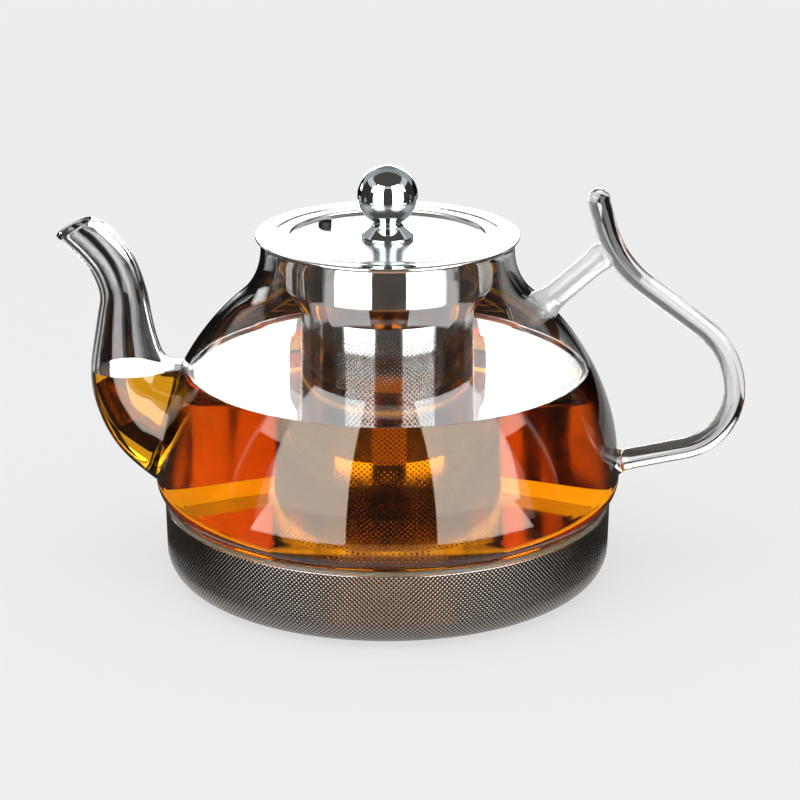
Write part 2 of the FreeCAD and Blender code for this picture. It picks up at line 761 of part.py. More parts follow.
def knob_screw():
    """Round-headed screw that draws the knob down on the lid."""
    shank = "screw_diameter / 2 - screw_gap / 2"
    return turned_piece("knob_screw", [
        ("0", WASHER_UNDER + " - screw_head_height"),
        ("screw_head / 2", WASHER_UNDER + " - screw_head_height"),
        ("screw_head / 2", WASHER_UNDER),
        (shank, WASHER_UNDER),
        (shank, DISH_TOP + " + screw_reach"),
        ("0", DISH_TOP + " + screw_reach"),
    ])


def build():
    """Make every piece of the teapot."""
    fill_sheet()
    envelope = glass_solid("glass_envelope", "0", "0")
    shell = glass_shell(envelope)
    bore = spout_form("spout_bore", "spout_wall", "spout_overrun")
    grip = handle(envelope)
    return [
        base_pan(), heat_spreader(), inner_plate(), seal_ring(shell),
        glass_body(shell, bore), spout(envelope, bore), grip, handle_strut(envelope, grip),
        strainer_collar(), strainer_sleeve(), strainer_floor(),
        lid_plate(), lid_knob(), knob_washer(), knob_screw(),
    ]


def check(pieces):
    """Stop before anything is written if a feature failed or a piece isn't one sound solid."""
    doc.recompute()
    for thing in doc.Objects:
        if "Invalid" in thing.State or "Error" in thing.State:
            raise RuntimeError("%s failed: %s" % (thing.Name, thing.getStatusString()))
    for piece in pieces:
        if piece.Shape.isNull() or not piece.Shape.isValid():
            raise RuntimeError("%s has no valid shape" % piece.Label)
        if len(piece.Shape.Solids) != 1:
            raise RuntimeError("%s is %d solids" % (piece.Label, len(piece.Shape.Solids)))


pieces = build()
check(pieces)
os.makedirs("parts", exist_ok=True)
for piece in pieces:
    piece.Shape.exportStep("parts/%s.step" % piece.Label)
    box = piece.Shape.BoundBox
    print("%-16s %9.1f mm3  x %.1f..%.1f  y %.1f..%.1f  z %.1f..%.1f" % (
        piece.Label, piece.Shape.Volume, box.XMin, box.XMax, box.YMin, box.YMax, box.ZMin, box.ZMax))
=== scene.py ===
import bpy
import math
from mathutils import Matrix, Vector


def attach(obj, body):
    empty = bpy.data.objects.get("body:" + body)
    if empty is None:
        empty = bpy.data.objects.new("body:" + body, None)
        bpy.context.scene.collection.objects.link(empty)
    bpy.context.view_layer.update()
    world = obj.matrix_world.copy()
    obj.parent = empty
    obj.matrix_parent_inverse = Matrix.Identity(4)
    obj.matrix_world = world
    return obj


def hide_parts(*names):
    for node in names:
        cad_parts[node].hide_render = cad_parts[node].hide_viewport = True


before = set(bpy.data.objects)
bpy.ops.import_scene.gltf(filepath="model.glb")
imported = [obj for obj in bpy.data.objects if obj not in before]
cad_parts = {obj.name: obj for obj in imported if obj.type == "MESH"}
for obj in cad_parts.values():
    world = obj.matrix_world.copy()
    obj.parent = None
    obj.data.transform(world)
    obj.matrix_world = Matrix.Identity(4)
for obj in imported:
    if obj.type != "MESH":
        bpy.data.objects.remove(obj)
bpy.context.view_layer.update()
mm = 0.001
print("frame loaded,", len(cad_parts), "nodes")


def deselectAll():
    if bpy.context.mode != "OBJECT":
        bpy.ops.object.mode_set(mode="OBJECT")
    bpy.ops.object.select_all(action="DESELECT")


def makeActive(piece):
    deselectAll()
    piece.select_set(True)
    bpy.context.view_layer.objects.active = piece


def nameIt(name):
    piece = bpy.context.object
    piece.name = name
    piece.data.name = name
    return piece


def turned(arm, angle):
    return Vector((arm.x * math.cos(angle) - arm.y * math.sin(angle),
                   arm.x * math.sin(angle) + arm.y * math.cos(angle)))


def roundedCorners(points, arcSteps):
    # corners are (x, z) or (x, z, radius), the result is straight runs and arcs
    moves = []
    for index, point in enumerate(points):
        corner = Vector(point[:2])
        if len(point) == 2:
            moves.append((corner.x, corner.y))
            continue
        back = (Vector(points[index - 1][:2]) - corner).normalized()
        ahead = (Vector(points[(index + 1) % len(points)][:2]) - corner).normalized()
        half = back.angle(ahead) / 2
        entry = corner + back * (point[2] / math.tan(half))
        middle = corner + (back + ahead).normalized() * (point[2] / math.sin(half))
        sweep = 180 - 2 * math.degrees(half)
        if back.cross(ahead) > 0:
            sweep = -sweep
        moves.append((entry.x, entry.y))
        moves.append((middle.x, middle.y, sweep, arcSteps))
    return moves


def drawProfile(name, moves):
    # one vertex is extruded along straight runs (x, z) and spun along arcs (x, z, degrees, steps)
    deselectAll()
    bpy.ops.mesh.primitive_plane_add(size=0.01)
    piece = nameIt(name)
    bpy.ops.object.mode_set(mode="EDIT")
    bpy.ops.mesh.select_mode(type="VERT")
    bpy.ops.mesh.select_all(action="SELECT")
    bpy.ops.mesh.merge(type="CENTER")
    here = Vector(moves[0])
    bpy.ops.transform.translate(value=(here.x * mm, 0, here.y * mm))
    for move in moves[1:]:
        if len(move) == 2:
            there = Vector(move)
            step = ((there.x - here.x) * mm, 0, (there.y - here.y) * mm)
            bpy.ops.mesh.extrude_vertices_move(TRANSFORM_OT_translate={"value": step})
        else:
            middle = Vector(move[:2])
            angle = math.radians(move[2])
            bpy.ops.mesh.spin(steps=move[3], angle=angle, axis=(0, 1, 0),
                              center=(middle.x * mm, 0, middle.y * mm))
            there = middle + turned(here - middle, angle)
        here = there
    return piece


def closeMesh():
    bpy.ops.mesh.select_all(action="SELECT")
    bpy.ops.mesh.remove_doubles(threshold=0.000001)
    bpy.ops.mesh.normals_make_consistent(inside=False)
    bpy.ops.object.mode_set(mode="OBJECT")


def turnAround(piece, steps):
    bpy.ops.mesh.select_all(action="SELECT")
    bpy.ops.mesh.spin(steps=steps, angle=math.radians(360), center=(0, 0, 0), axis=(0, 0, 1))
    closeMesh()
    return piece


def turnedRing(name, settings):
    moves = roundedCorners(settings["outline"], settings["arcSteps"])
    return turnAround(drawProfile(name, moves + moves[:1]), settings["turns"])


def applyModifier(piece, kind, **values):
    makeActive(piece)
    modifier = piece.modifiers.new(kind.title(), kind)
    for key, value in values.items():
        setattr(modifier, key, value)
    bpy.ops.object.modifier_apply(modifier=modifier.name)


def combine(piece, tool, operation):
    applyModifier(piece, "BOOLEAN", object=tool, operation=operation, solver="EXACT")
    bpy.data.objects.remove(tool)
    return piece


def smooth(piece, degrees):
    makeActive(piece)
    bpy.ops.object.shade_smooth_by_angle(angle=math.radians(degrees))


def wrapMap(piece, mapName, around, along):
    # pattern counts round the axis across the map, and along(point) up the map, where point is in millimetres
    layer = piece.data.uv_layers.new(name=mapName)
    wholeTurn = 2 * math.pi
    for face in piece.data.polygons:
        facing = math.atan2(face.center.y, face.center.x)
        for loop in face.loop_indices:
            point = piece.data.vertices[piece.data.loops[loop].vertex_index].co / mm
            offAxis = math.hypot(point.x, point.y) > 0.01
            angle = math.atan2(point.y, point.x) if offAxis else facing
            angle -= round((angle - facing) / wholeTurn) * wholeTurn
            layer.data[loop].uv = (angle / wholeTurn * around, along(point))


def dress(piece, material, body, node=None):
    piece.data.materials.clear()
    piece.data.materials.append(material)
    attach(piece, body)
    if node:
        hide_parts(node)


def newMaterial(name, values):
    material = bpy.data.materials.new(name)
    material.use_nodes = True
    shader = material.node_tree.nodes["Principled BSDF"]
    for socket, value in values.items():
        shader.inputs[socket].default_value = value
    return material, material.node_tree, shader


def addNode(tree, kind, values=None, **settings):
    node = tree.nodes.new(kind)
    for key, value in settings.items():
        setattr(node, key, value)
    for socket, value in (values or {}).items():
        node.inputs[socket].default_value = value
    return node


def objectNoise(tree, scale, detail=3.0, stretch=(1, 1, 1)):
    place = addNode(tree, "ShaderNodeTexCoord")
    mapping = addNode(tree, "ShaderNodeMapping", {"Scale": stretch})
    noise = addNode(tree, "ShaderNodeTexNoise", {"Scale": scale, "Detail": detail})
    tree.links.new(place.outputs["Object"], mapping.inputs["Vector"])
    tree.links.new(mapping.outputs["Vector"], noise.inputs["Vector"])
    return noise.outputs["Fac"]


def spread(tree, value, low, high, fromLow=0.3, fromHigh=0.7):
    ranged = addNode(tree, "ShaderNodeMapRange",
                     {"From Min": fromLow, "From Max": fromHigh, "To Min": low, "To Max": high})
    tree.links.new(value, ranged.inputs["Value"])
    return ranged.outputs["Result"]


def blend(tree, factor, first, second, socket):
    mix = addNode(tree, "ShaderNodeMix", data_type="RGBA")
    mix.inputs["A"].default_value = (*first, 1)
    mix.inputs["B"].default_value = (*second, 1)
    tree.links.new(factor, mix.inputs["Factor"])
    tree.links.new(mix.outputs["Result"], socket)


def joinPair(tree, operation, first, second):
    node = addNode(tree, "ShaderNodeMath", operation=operation)
    tree.links.new(first, node.inputs[0])
    tree.links.new(second, node.inputs[1])
    return node.outputs["Value"]


def latticeDistance(tree, mapName):
    # distance to the nearest point of two square grids, half a pitch apart, counted in pitches
    uv = addNode(tree, "ShaderNodeUVMap", uv_map=mapName)
    lengths = []
    for shift in (0.0, 0.5):
        moved = addNode(tree, "ShaderNodeVectorMath", {1: (shift, shift, 0)}, operation="ADD")
        cell = addNode(tree, "ShaderNodeVectorMath", operation="FRACTION")
        centred = addNode(tree, "ShaderNodeVectorMath", {1: (0.5, 0.5, 0)}, operation="SUBTRACT")
        length = addNode(tree, "ShaderNodeVectorMath", operation="LENGTH")
        tree.links.new(uv.outputs["UV"], moved.inputs[0])
        tree.links.new(moved.outputs["Vector"], cell.inputs[0])
        tree.links.new(cell.outputs["Vector"], centred.inputs[0])
        tree.links.new(centred.outputs["Vector"], length.inputs[0])
        lengths.append(length.outputs["Value"])
    return joinPair(tree, "MINIMUM", *lengths)


def addBump(tree, shader, height, distance, strength=1.0):
    bump = addNode(tree, "ShaderNodeBump", {"Distance": distance, "Strength": strength})
    tree.links.new(height, bump.inputs["Height"])
    tree.links.new(bump.outputs["Normal"], shader.inputs["Normal"])


# finishes: worn and grained metal, slightly wavy glass
metalLook = {"wearScale": 60.0, "wornShade": 0.92, "grainScale": 240.0, "grainDetail": 4.0, "grainDepth": 0.000004,
             "grainStrength": 0.4}
glassLook = {"Base Color": (0.985, 0.995, 0.992, 1), "Roughness": 0.0, "IOR": 1.47}


def steelMaterial(name, colour, roughLow, roughHigh):
    material, tree, shader = newMaterial(name, {"Metallic": 1.0})
    worn = [part * metalLook["wornShade"] for part in colour]
    wear = spread(tree, objectNoise(tree, metalLook["wearScale"]), 0, 1)
    blend(tree, wear, worn, colour, shader.inputs["Base Color"])
    grain = objectNoise(tree, metalLook["grainScale"], metalLook["grainDetail"])
    tree.links.new(spread(tree, grain, roughLow, roughHigh), shader.inputs["Roughness"])
    addBump(tree, shader, grain, metalLook["grainDepth"], metalLook["grainStrength"])
    return material


def glassMaterial(name, waveScale, waveDepth, clear=1.0):
    material, tree, shader = newMaterial(name, {**glassLook, "Transmission Weight": clear})
    addBump(tree, shader, objectNoise(tree, waveScale, 1.0), waveDepth)
    return material


polishedSteel = steelMaterial("polishedSteel", (0.80, 0.80, 0.79), 0.04, 0.08)
chromeFinish = steelMaterial("chromeFinish", (0.62, 0.69, 0.72), 0.02, 0.04)
sleeveSteel = steelMaterial("sleeveSteel", (0.70, 0.69, 0.67), 0.10, 0.16)
lidSteel = steelMaterial("lidSteel", (0.82, 0.82, 0.81), 0.17, 0.22)
# painted shade: near-black steel for the vent hood and its hole
paintedVentShade = steelMaterial("paintedVentShade", (0.03, 0.03, 0.03), 0.35, 0.45)
plateSteel = steelMaterial("plateSteel", (0.52, 0.50, 0.48), 0.06, 0.12)
wallSteel = steelMaterial("wallSteel", (0.62, 0.58, 0.55), 0.05, 0.10)
satinSteel = steelMaterial("satinSteel", (0.58, 0.57, 0.55), 0.28, 0.40)
millAluminium = steelMaterial("millAluminium", (0.75, 0.75, 0.76), 0.35, 0.50)
blownGlass = glassMaterial("blownGlass", 22.0, 0.00012)
rodGlass = glassMaterial("rodGlass", 60.0, 0.00006)
strutGlass = glassMaterial("strutGlass", 60.0, 0.00006, 0.40)           # a little milky
print("finishes ready")


# blown glass body: one outline gives its outside, its inside, the tea and the cutters
body = {
    "foot": 66.18, "footLevel": 8.0, "heelX": 62.18, "heel": 8.4, "belly": 70.58, "bellyLevel": 31.6,
    "neckX": 59.478, "neckLevel": 101.9, "neckAngle": 49.757, "neck": 37.98, "rim": 105.15, "wall": 2.0,
    "turns": 176, "heelSteps": 12, "bellySteps": 34, "neckSteps": 16, "lipSteps": 10, "smooth": 40,
}


def footAngle(inset):
    return math.acos((body["foot"] - inset - body["heelX"]) / (body["heel"] - inset))


def bellyUp(inset):
    angle = footAngle(inset)
    footTop = body["bellyLevel"] - (body["heel"] - inset) * math.sin(angle)
    return [
        (body["foot"] - inset, footTop),
        (body["heelX"], body["bellyLevel"], math.degrees(angle), body["heelSteps"]),
        (0, body["bellyLevel"], body["neckAngle"], body["bellySteps"]),
        (body["neckX"], body["neckLevel"], -body["neckAngle"], body["neckSteps"]),
    ]


def bellyDown(inset):
    angle = footAngle(inset)
    return [
        (body["neck"] - inset, body["neckLevel"]),
        (body["neckX"], body["neckLevel"], body["neckAngle"], body["neckSteps"]),
        (0, body["bellyLevel"], -body["neckAngle"], body["bellySteps"]),
        (body["heelX"], body["bellyLevel"], -math.degrees(angle), body["heelSteps"]),
        (body["foot"] - inset, body["footLevel"]),
    ]


def makeBody():
    half = body["wall"] / 2
    inside = (body["foot"] - body["wall"], body["footLevel"])
    moves = [inside, (body["foot"], body["footLevel"])]
    moves += bellyUp(0)
    moves.append((body["neck"], body["rim"] - half))
    moves.append((body["neck"] - half, body["rim"] - half, 180, body["lipSteps"]))     # fire-polished lip
    moves += bellyDown(body["wall"])
    moves.append(inside)
    return turnAround(drawProfile("glassBody", moves), body["turns"])


def makeCore(name, inset):
    moves = [(0, body["footLevel"]), (body["foot"] - inset, body["footLevel"])]
    moves += bellyUp(inset)
    moves += [(body["neck"] - inset, body["rim"]), (0, body["rim"])]
    return turnAround(drawProfile(name, moves), body["turns"])


# swan-neck spout: x, z, lean of the section, its height and its width
spout = {
    "sections": [
        (-54.0, 47.5, 75, 38.0, 32.0), (-66.0, 47.5, 75, 38.0, 32.0), (-72.2, 52.6, 56, 33.0, 29.0),
        (-76.6, 58.0, 40, 27.5, 25.6), (-78.9, 64.8, 22, 23.3, 22.6), (-79.0, 73.2, 2, 19.0, 18.8),
        (-79.1, 80.3, 0, 16.3, 16.2), (-79.4, 88.0, 6, 14.0, 13.8), (-82.3, 96.5, 24, 13.6, 13.4),
        (-87.7, 103.6, 42, 13.26, 12.96), (-93.0, 107.9, 25, 12.62, 12.32),
    ],
    "between": 6, "around": 56, "wall": 1.7, "lipTurns": (30, 60, 90, 120, 150, 180), "lipRise": 0.7,
    "rootInset": 0.6, "boreSections": 5, "smooth": 50,
}


def spoutStations(last):
    # the sections again, with smooth in-between ones from the root on
    given = [Vector(section) for section in spout["sections"][:last]]
    stations = [given[0]]
    for index in range(1, len(given) - 1):
        start = given[index]
        stop = given[index + 1]
        before = given[index - 1] if index > 1 else start * 2 - stop
        after = given[index + 2] if index + 2 < len(given) else stop * 2 - start
        for part in range(spout["between"]):
            t = part / spout["between"]
            leave = (stop - before) / 2
            arrive = (after - start) / 2
            stations.append(start * (2 * t ** 3 - 3 * t ** 2 + 1) + leave * (t ** 3 - 2 * t ** 2 + t)
                            + stop * (3 * t ** 2 - 2 * t ** 3) + arrive * (t ** 3 - t ** 2))
    stations.append(given[-1])
    return stations


def firstRing(name, station, inset):
    deselectAll()
    bpy.ops.mesh.primitive_circle_add(vertices=spout["around"], radius=1)
    piece = nameIt(name)
    x, z, lean, tall, wide = station
    middle = (x * mm, 0, z * mm)
    bpy.ops.object.mode_set(mode="EDIT")
    bpy.ops.mesh.select_all(action="SELECT")
    bpy.ops.transform.resize(value=((tall / 2 - inset) * mm, (wide / 2 - inset) * mm, 1))
    bpy.ops.transform.rotate(value=math.radians(lean), orient_axis="Y", center_override=(0, 0, 0))
    bpy.ops.transform.translate(value=middle)
    return piece


def nextRing(old, new, oldInset, newInset, lift=0.0):
    # extrude the open edge to the next section, square it up, size it and lean it again
    x, z, lean, tall, wide = new
    step = ((x - old[0]) * mm, 0, (z - old[1]) * mm)
    middle = (x * mm, 0, z * mm)
    scale = ((tall / 2 - newInset) / (old[3] / 2 - oldInset), (wide / 2 - newInset) / (old[4] / 2 - oldInset), 1)
    bpy.ops.mesh.extrude_region_move(TRANSFORM_OT_translate={"value": step})
    bpy.ops.transform.rotate(value=math.radians(-old[2]), orient_axis="Y", center_override=middle)
    bpy.ops.transform.resize(value=scale, center_override=middle)
    bpy.ops.transform.translate(value=(0, 0, lift * mm))
    bpy.ops.transform.rotate(value=math.radians(lean), orient_axis="Y", center_override=middle)


def makeSpout():
    stations = spoutStations(None)
    wall = spout["wall"]
    piece = firstRing("glassSpout", stations[0], 0)
    for old, new in zip(stations, stations[1:]):
        nextRing(old, new, 0, 0)
    mouth = stations[-1]
    rise = 0.0
    inset = 0.0
    for degrees in spout["lipTurns"]:                                   # rounded lip
        turn = math.radians(degrees)
        newInset = wall / 2 * (1 - math.cos(turn))
        newRise = wall / 2 * math.sin(turn) * spout["lipRise"]
        nextRing(mouth, mouth, inset, newInset, newRise - rise)
        rise = newRise
        inset = newInset
    backwards = stations[::-1]
    for old, new in zip(backwards, backwards[1:]):
        nextRing(old, new, wall, wall)
    nextRing(backwards[-1], backwards[-1], wall, 0)                     # ring that closes the wall at its root
    closeMesh()
    return combine(piece, makeCore("spoutCutter", spout["rootInset"]), "DIFFERENCE")


def makeBore(name, inset, last):
    stations = spoutStations(last)
    piece = firstRing(name, stations[0], inset)
    bpy.ops.mesh.edge_face_add()
    for old, new in zip(stations, stations[1:]):
        nextRing(old, new, inset, inset)
    closeMesh()
    return piece


glassBody = combine(makeBody(), makeBore("bodyBore", spout["wall"], spout["boreSections"]), "DIFFERENCE")
smooth(glassBody, body["smooth"])
dress(glassBody, blownGlass, "pot", "glass_body")
glassSpout = makeSpout()
smooth(glassSpout, spout["smooth"])
dress(glassSpout, blownGlass, "pot", "spout")
print("glass body and spout", len(glassBody.data.polygons), len(glassSpout.data.polygons))


# tea in the pot and in the spout, its skin just inside the glass wall
# the seam's emission strength and its dim and bright emission colours make a painted glow at the tea's foot
tea = {
    "level": 64.3, "skin": 1.4, "boreSkin": 1.2, "boreSections": 7, "boreDrop": 0.4, "climb": 1.0, "curl": 3.0,
    "curlTurn": 45, "curlRoom": 1.3, "curlSteps": 6, "wallSteps": 24, "floor": 5.55, "floorStep": 1.6,
    "panLevel": 23.0, "panStep": 0.8, "footStep": 0.85, "seam": 8.2, "paintedGlowStrength": 1.7, "smooth": 12,
    "tint": (0.95, 0.50, 0.08, 1), "colour": (0.97, 0.90, 0.10, 1), "density": 100.0,
    "seamBase": (0.90, 0.84, 0.72, 1), "paintedGlowDim": (0.35, 0.33, 0.30), "paintedGlowBright": (1.0, 0.96, 0.90),
}


def makeTea():
    inset = tea["skin"]
    reach = body["belly"] - inset
    top = tea["level"] + tea["climb"]
    rise = math.asin((top - body["bellyLevel"]) / reach)
    angle = footAngle(inset)
    foot = body["foot"] - inset
    curl = tea["curl"]
    curlTurn = math.radians(tea["curlTurn"])
    curlX = reach * math.cos(rise) - tea["curlRoom"] - curl * math.sin(curlTurn)
    moves = [
        (0, tea["floor"]), (foot - tea["floorStep"], tea["floor"]), (foot - tea["footStep"], tea["seam"]),
        (foot - tea["footStep"], tea["panLevel"] - tea["panStep"]), (foot, tea["panLevel"]),
        (foot, body["bellyLevel"] - (body["heel"] - inset) * math.sin(angle)),
        (body["heelX"], body["bellyLevel"], math.degrees(angle), body["heelSteps"]),
        (0, body["bellyLevel"], math.degrees(rise), tea["wallSteps"]),
        (curlX + curl * math.sin(curlTurn), tea["level"] + curl * (1 - math.cos(curlTurn))),
        (curlX, tea["level"] + curl, -tea["curlTurn"], tea["curlSteps"]),
        (0, tea["level"]),
    ]
    pot = turnAround(drawProfile("teaFill", moves), body["turns"])
    filling = makeBore("spoutTea", tea["boreSkin"], tea["boreSections"])
    makeActive(filling)
    bpy.ops.object.mode_set(mode="EDIT")
    bpy.ops.mesh.select_all(action="SELECT")
    bpy.ops.mesh.bisect(plane_co=(0, 0, (tea["level"] - tea["boreDrop"]) * mm), plane_no=(0, 0, 1),
                        use_fill=True, clear_outer=True)
    closeMesh()
    return combine(pot, filling, "UNION")


def teaMaterial():
    values = {"Base Color": tea["tint"], "Roughness": 0.0, "IOR": 1.333, "Transmission Weight": 1.0}
    material, tree, shader = newMaterial("brewedTea", values)
    absorption = addNode(tree, "ShaderNodeVolumeAbsorption", {"Color": tea["colour"], "Density": tea["density"]})
    tree.links.new(absorption.outputs["Volume"], tree.nodes["Material Output"].inputs["Volume"])
    return material


def paintedSeamGlowMaterial():
    # painted glow: the seam glows with its own emission, standing in for light led down by the glass wall that leaves
    # it at its foot
    values = {"Base Color": tea["seamBase"], "Roughness": 0.3, "Emission Strength": tea["paintedGlowStrength"]}
    material, tree, shader = newMaterial("paintedGlowSeam", values)
    cloud = spread(tree, objectNoise(tree, 60.0), 0, 1)
    blend(tree, cloud, tea["paintedGlowDim"], tea["paintedGlowBright"], shader.inputs["Emission Color"])
    return material


teaFill = makeTea()
smooth(teaFill, tea["smooth"])
dress(teaFill, teaMaterial(), "pot")
teaFill.data.materials.append(wallSteel)
teaFill.data.materials.append(paintedSeamGlowMaterial())
for face in teaFill.data.polygons:                                      # steel behind the pan's wall, seam with painted glow below
    faceLevel = face.center.z / mm
    if faceLevel < tea["panLevel"]:
        sloped = 0.05 < abs(face.normal.z) < 0.6
        face.material_index = 2 if sloped and faceLevel < tea["seam"] else 1
print("tea", len(teaFill.data.polygons))


# bent rod handle, from its free tip down to the weld on the belly
handle = {
    "tip": (62.8, 116.3), "lean": 16.0, "tipLength": 8.27, "bead": 3.49, "rod": 3.24, "elbow": 36.0,
    "slope": 53.0, "slopeLength": 21.2, "upper": 26.0, "lower": 18.2, "lowerTurn": 78.83,
    "weldRun": 21.5, "weldFlare": 4.7, "flareLength": 5.5, "flareParts": (0.0, 0.5, 0.75, 0.9, 1.0),
    "beadTurns": (12, 28, 44, 60, 76, 90), "beadNeck": 1.2, "elbowSteps": 18, "upperSteps": 22, "lowerSteps": 26,
    "around": 40, "smooth": 50,
}


def startRod(name, around, middle, lean, radius):
    # disc square to a direction that leans from the downward vertical towards +X
    deselectAll()
    bpy.ops.mesh.primitive_circle_add(vertices=around, radius=radius * mm, fill_type="NGON")
    piece = nameIt(name)
    bpy.ops.object.mode_set(mode="EDIT")
    bpy.ops.mesh.select_all(action="SELECT")
    bpy.ops.transform.rotate(value=math.radians(lean), orient_axis="Y", center_override=(0, 0, 0))
    bpy.ops.transform.translate(value=(middle[0] * mm, 0, middle[1] * mm))
    return piece


def growRod(state, length, radius):
    # extrude along the present direction and bring the end to a new radius
    step = state["way"] * length
    bpy.ops.mesh.extrude_region_move(TRANSFORM_OT_translate={"value": (step.x * mm, 0, step.y * mm)})
    state["at"] = state["at"] + step
    scale = radius / state["radius"]
    bpy.ops.transform.resize(value=(scale, scale, scale),
                             center_override=(state["at"].x * mm, 0, state["at"].y * mm))
    state["radius"] = radius


def bendRod(state, radius, degrees, steps):
    # spin the end round a centre to the left (positive) or to the right of the direction
    angle = math.radians(degrees)
    left = Vector((-state["way"].y, state["way"].x)) * (1 if degrees > 0 else -1)
    middle = state["at"] + left * radius
    bpy.ops.mesh.spin(steps=steps, angle=angle, axis=(0, 1, 0), center=(middle.x * mm, 0, middle.y * mm))
    state["at"] = middle + turned(state["at"] - middle, angle)
    state["way"] = turned(state["way"], angle)


def makeHandle():
    lean = math.radians(handle["lean"])
    way = Vector((math.sin(lean), -math.cos(lean)))
    bead = handle["bead"]
    turns = [math.radians(degrees) for degrees in handle["beadTurns"]]
    top = Vector(handle["tip"]) - way * bead * math.cos(turns[0])
    topRadius = bead * math.sin(turns[0])
    piece = startRod("glassHandle", handle["around"], top, handle["lean"], topRadius)
    state = {"at": top, "way": way, "radius": topRadius}
    for old, new in zip(turns, turns[1:]):                              # rounded bead
        growRod(state, bead * (math.cos(old) - math.cos(new)), bead * math.sin(new))
    growRod(state, handle["beadNeck"], handle["rod"])
    growRod(state, handle["tipLength"] - handle["beadNeck"], handle["rod"])
    bendRod(state, handle["elbow"], handle["slope"] - handle["lean"], handle["elbowSteps"])
    growRod(state, handle["slopeLength"], handle["rod"])
    bendRod(state, handle["upper"], -handle["slope"], handle["upperSteps"])
    bendRod(state, handle["lower"], -handle["lowerTurn"], handle["lowerSteps"])
    growRod(state, handle["weldRun"] - handle["flareLength"], handle["rod"])
    for done, part in zip(handle["flareParts"], handle["flareParts"][1:]):      # flare of the weld
        growRod(state, handle["flareLength"] * (part - done),
                handle["rod"] + (handle["weldFlare"] - handle["rod"]) * part ** 3)
    closeMesh()
    return piece


# short strut from the shoulder to the handle: distance along it and radius
strut = {
    "foot": (46.7, 83.57), "lean": 48.43, "around": 40, "smooth": 60,
    "rings": [(0.0, 5.2), (1.2, 5.0), (2.2, 4.5), (3.6, 4.05), (6.0, 3.85), (16.0, 3.75), (19.6, 3.8), (21.4, 4.05),
              (23.0, 4.3), (24.4, 4.1), (25.6, 3.2)],
}


def makeStrut():
    lean = math.radians(strut["lean"])
    way = Vector((math.sin(lean), math.cos(lean)))
    footRadius = strut["rings"][0][1]
    piece = startRod("handleStrut", strut["around"], strut["foot"], -strut["lean"], footRadius)
    state = {"at": Vector(strut["foot"]), "way": way, "radius": footRadius}
    for old, new in zip(strut["rings"], strut["rings"][1:]):
        growRod(state, new[0] - old[0], new[1])
    closeMesh()
    return piece


glassHandle = makeHandle()
smooth(glassHandle, handle["smooth"])
dress(glassHandle, rodGlass, "pot", "handle")
handleStrut = makeStrut()
smooth(handleStrut, strut["smooth"])
dress(handleStrut, strutGlass, "pot", "handle_strut")
print("handle and strut")


# steel pan with rows of raised dots, and the silicone bead on its rim
pan = {
    "outline": [(0, 0), (67.5, 0, 9.0), (68.0, 23.0, 0.35), (67.2, 23.0, 0.35), (66.7, 0.8, 8.2), (0, 0.8)],
    "turns": 192, "arcSteps": 10, "corner": 9.0, "cornerX": 58.5, "dotsAround": 305, "dotPitch": 1.4, "dotFoot": 0.36,
    "dotTop": 0.14, "dotSteel": (0.42, 0.38, 0.345), "paintedGapShade": (0.05, 0.04, 0.033), "dotHeight": 0.00009,
    "rough": (0.20, 0.28), "smooth": 40,
}


def dotsAlongPan(point):
    # distance from the axis along the pan's section, counted in dots
    along = math.hypot(point.x, point.y)
    if along > pan["cornerX"]:
        bend = math.atan2(along - pan["cornerX"], pan["corner"] - point.z)
        along = pan["cornerX"] + pan["corner"] * min(bend, math.pi / 2)
        along += max(0.0, point.z - pan["corner"])
    return along / pan["dotPitch"]


def dottedSteel():
    material, tree, shader = newMaterial("dottedSteel", {"Metallic": 1.0})
    limits = {"From Min": pan["dotFoot"], "From Max": pan["dotTop"], "To Min": 0, "To Max": 1}
    dot = addNode(tree, "ShaderNodeMapRange", limits, interpolation_type="SMOOTHSTEP")
    tree.links.new(latticeDistance(tree, "dotRows"), dot.inputs["Value"])
    # the raised dots are real relief; the gaps between them are coloured near black as painted shade
    blend(tree, dot.outputs["Result"], pan["paintedGapShade"], pan["dotSteel"], shader.inputs["Base Color"])
    tree.links.new(spread(tree, objectNoise(tree, 90.0), *pan["rough"]), shader.inputs["Roughness"])
    addBump(tree, shader, dot.outputs["Result"], pan["dotHeight"])
    return material


panMoves = roundedCorners(pan["outline"], pan["arcSteps"])
basePan = turnAround(drawProfile("basePan", panMoves), pan["turns"])
wrapMap(basePan, "dotRows", pan["dotsAround"], dotsAlongPan)
smooth(basePan, pan["smooth"])
dress(basePan, dottedSteel(), "pot", "base_pan")
basePan.data.materials.append(plateSteel)
for face in basePan.data.polygons:                                      # smooth steel inside
    if face.normal.xy.dot(face.center.xy) < 0 or face.normal.z > 0.5:
        face.material_index = 1

seal = {
    "outline": [(63.4, 5.65), (65.0, 5.65), (66.8, 9.2), (67.15, 23.05), (67.6, 23.05), (67.6, 23.5, 0.3),
                (67.2, 23.95, 0.3), (66.3, 23.95), (66.3, 7.9), (64.1, 7.9), (64.0, 8.4), (63.4, 6.4)],
    "turns": 176, "arcSteps": 3, "smooth": 40, "amber": (0.93, 0.80, 0.58), "pale": (0.97, 0.90, 0.74),
}


def siliconeMaterial():
    values = {"Roughness": 0.3, "IOR": 1.41, "Transmission Weight": 0.8}
    material, tree, shader = newMaterial("clearSilicone", values)
    cloud = objectNoise(tree, 120.0)
    blend(tree, spread(tree, cloud, 0, 1), seal["amber"], seal["pale"], shader.inputs["Base Color"])
    addBump(tree, shader, cloud, 0.00005)
    return material


sealBead = turnedRing("sealBead", seal)
smooth(sealBead, seal["smooth"])
dress(sealBead, siliconeMaterial(), "pot", "seal_ring")
print("base pan and seal")


